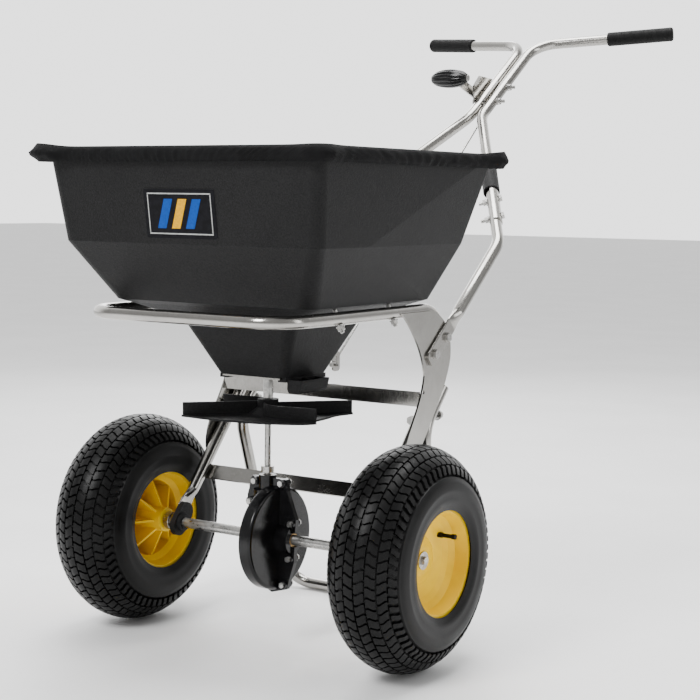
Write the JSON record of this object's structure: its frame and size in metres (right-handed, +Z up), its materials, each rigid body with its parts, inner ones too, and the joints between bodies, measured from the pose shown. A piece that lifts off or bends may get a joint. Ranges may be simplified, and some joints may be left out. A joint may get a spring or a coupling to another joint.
{
  "type": "walk-behind broadcast spreader",
  "caption": "Push spreader with a tub hopper, fitted rain cover, tube frame, pneumatic wheels, ground-driven spinner, stand and a hand lever that opens the gate.",
  "frame": {"origin": "on the ground, directly under the middle of the axle", "axes": "+Z up; -Y is the way the machine is pushed, +Y points to the operator; +X is the side of the driven wheel, so X runs along the axle"},
  "size_m": [0.638, 1.1477, 1.0037],
  "materials": {
    "stainless": "brushed and welded stainless steel",
    "zinc_steel": "bright zinc-plated and plain steel",
    "black_poly": "black moulded plastic with a fine grain",
    "black_gloss": "smooth glossy black",
    "bronze": "oiled bearing bronze",
    "tyre_rubber": "black turf tyre rubber",
    "yellow_plastic": "warm yellow moulded plastic, satin gloss",
    "grip_rubber": "soft black grip",
    "cover_fabric": "black woven nylon with an elastic hem",
    "badge": "printed sticker with a plain pattern"
  },
  "bodies": {
    "frame": {"frame_loop_tube": "stainless", "side_plate_left": "stainless", "side_plate_right": "stainless", "upper_crossbar": "stainless", "lower_crossbar": "stainless", "axle_bearing_left": "black_poly", "axle_bearing_right": "black_poly", "stand_tube": "stainless", "stand_bolts": "zinc_steel", "lower_handle_left": "stainless", "lower_handle_right": "stainless", "upper_handle_left": "stainless", "upper_handle_right": "stainless", "splice_sleeve_left": "black_poly", "splice_sleeve_right": "black_poly", "splice_bolts": "zinc_steel", "handle_bolts": "zinc_steel", "hand_grip_left": "grip_rubber", "hand_grip_right": "grip_rubber", "handle_spacer": "stainless", "lever_bracket": "stainless", "lever_pivot_bolt": "zinc_steel", "hopper": "black_poly", "hopper_funnel": "black_poly", "hopper_floor": "black_poly", "hopper_bolts": "zinc_steel", "front_badge": "badge", "gate_rails": "black_poly", "deflector_block": "black_poly", "gearbox_front": "black_gloss", "gearbox_rear": "black_gloss", "gearbox_bolts": "zinc_steel", "gearbox_bushes": "bronze"},
    "drive_axle": {"axle": "zinc_steel", "ring_gear": "zinc_steel", "axle_collars": "zinc_steel", "tyre_right": "tyre_rubber", "wheel_rim_right": "yellow_plastic", "wheel_disc_right": "yellow_plastic", "hub_bushes_right": "bronze", "valve_stem_right": "grip_rubber", "axle_end_bolt_right": "zinc_steel", "axle_end_bolt_left": "zinc_steel"},
    "free_wheel": {"tyre_left": "tyre_rubber", "wheel_rim_left": "yellow_plastic", "wheel_disc_left": "yellow_plastic", "hub_bushes_left": "bronze", "valve_stem_left": "grip_rubber"},
    "spinner_shaft_set": {"spinner_shaft": "zinc_steel", "spinner_pinion": "zinc_steel", "shaft_collars": "zinc_steel", "spinner": "black_poly", "agitator": "zinc_steel"},
    "gate_lever": {"lever": "stainless", "lever_knob": "black_gloss", "knob_bolt": "zinc_steel"},
    "control_rod_set": {"control_rod": "zinc_steel"},
    "gate": {"gate_plate": "stainless"},
    "rain_cover": {"cover_top": "cover_fabric", "cover_hem": "cover_fabric"}
  },
  "joints": [
    {"name": "axle_turn", "type": "hinge", "parent": "frame", "child": "drive_axle", "pos_m": [0, 0, 0.165], "axis": [1, 0, 0], "continuous": true},
    {"name": "free_wheel_turn", "type": "hinge", "parent": "drive_axle", "child": "free_wheel", "pos_m": [-0.256, 0, 0.165], "axis": [1, 0, 0], "continuous": true},
    {"name": "spinner_turn", "type": "hinge", "parent": "frame", "child": "spinner_shaft_set", "pos_m": [0, 0, 0.35], "axis": [0, 0, 1], "continuous": true},
    {"name": "lever_tilt", "type": "hinge", "parent": "frame", "child": "gate_lever", "pos_m": [-0.0297, 0.698, 0.866], "axis": [1, 0, 0], "range_deg": [0, 26]},
    {"name": "rod_slide", "type": "slide", "parent": "frame", "child": "control_rod_set", "axis": [0, 0.7564, 0.6541], "range_m": [0, 0.0182]},
    {"name": "gate_slide", "type": "slide", "parent": "frame", "child": "gate", "axis": [0, 1, 0], "range_m": [0, 0.0138]},
    {"name": "cover_lift", "type": "slide", "parent": "frame", "child": "rain_cover", "axis": [0, 0, 1], "range_m": [0, 0.25]}
  ],
  "couplings": [
    {"joint": "spinner_turn", "follows": "axle_turn", "ratio": -4.6},
    {"joint": "rod_slide", "follows": "lever_tilt", "m_per_rad": 0.03969},
    {"joint": "gate_slide", "follows": "lever_tilt", "m_per_rad": 0.03002}
  ]
}
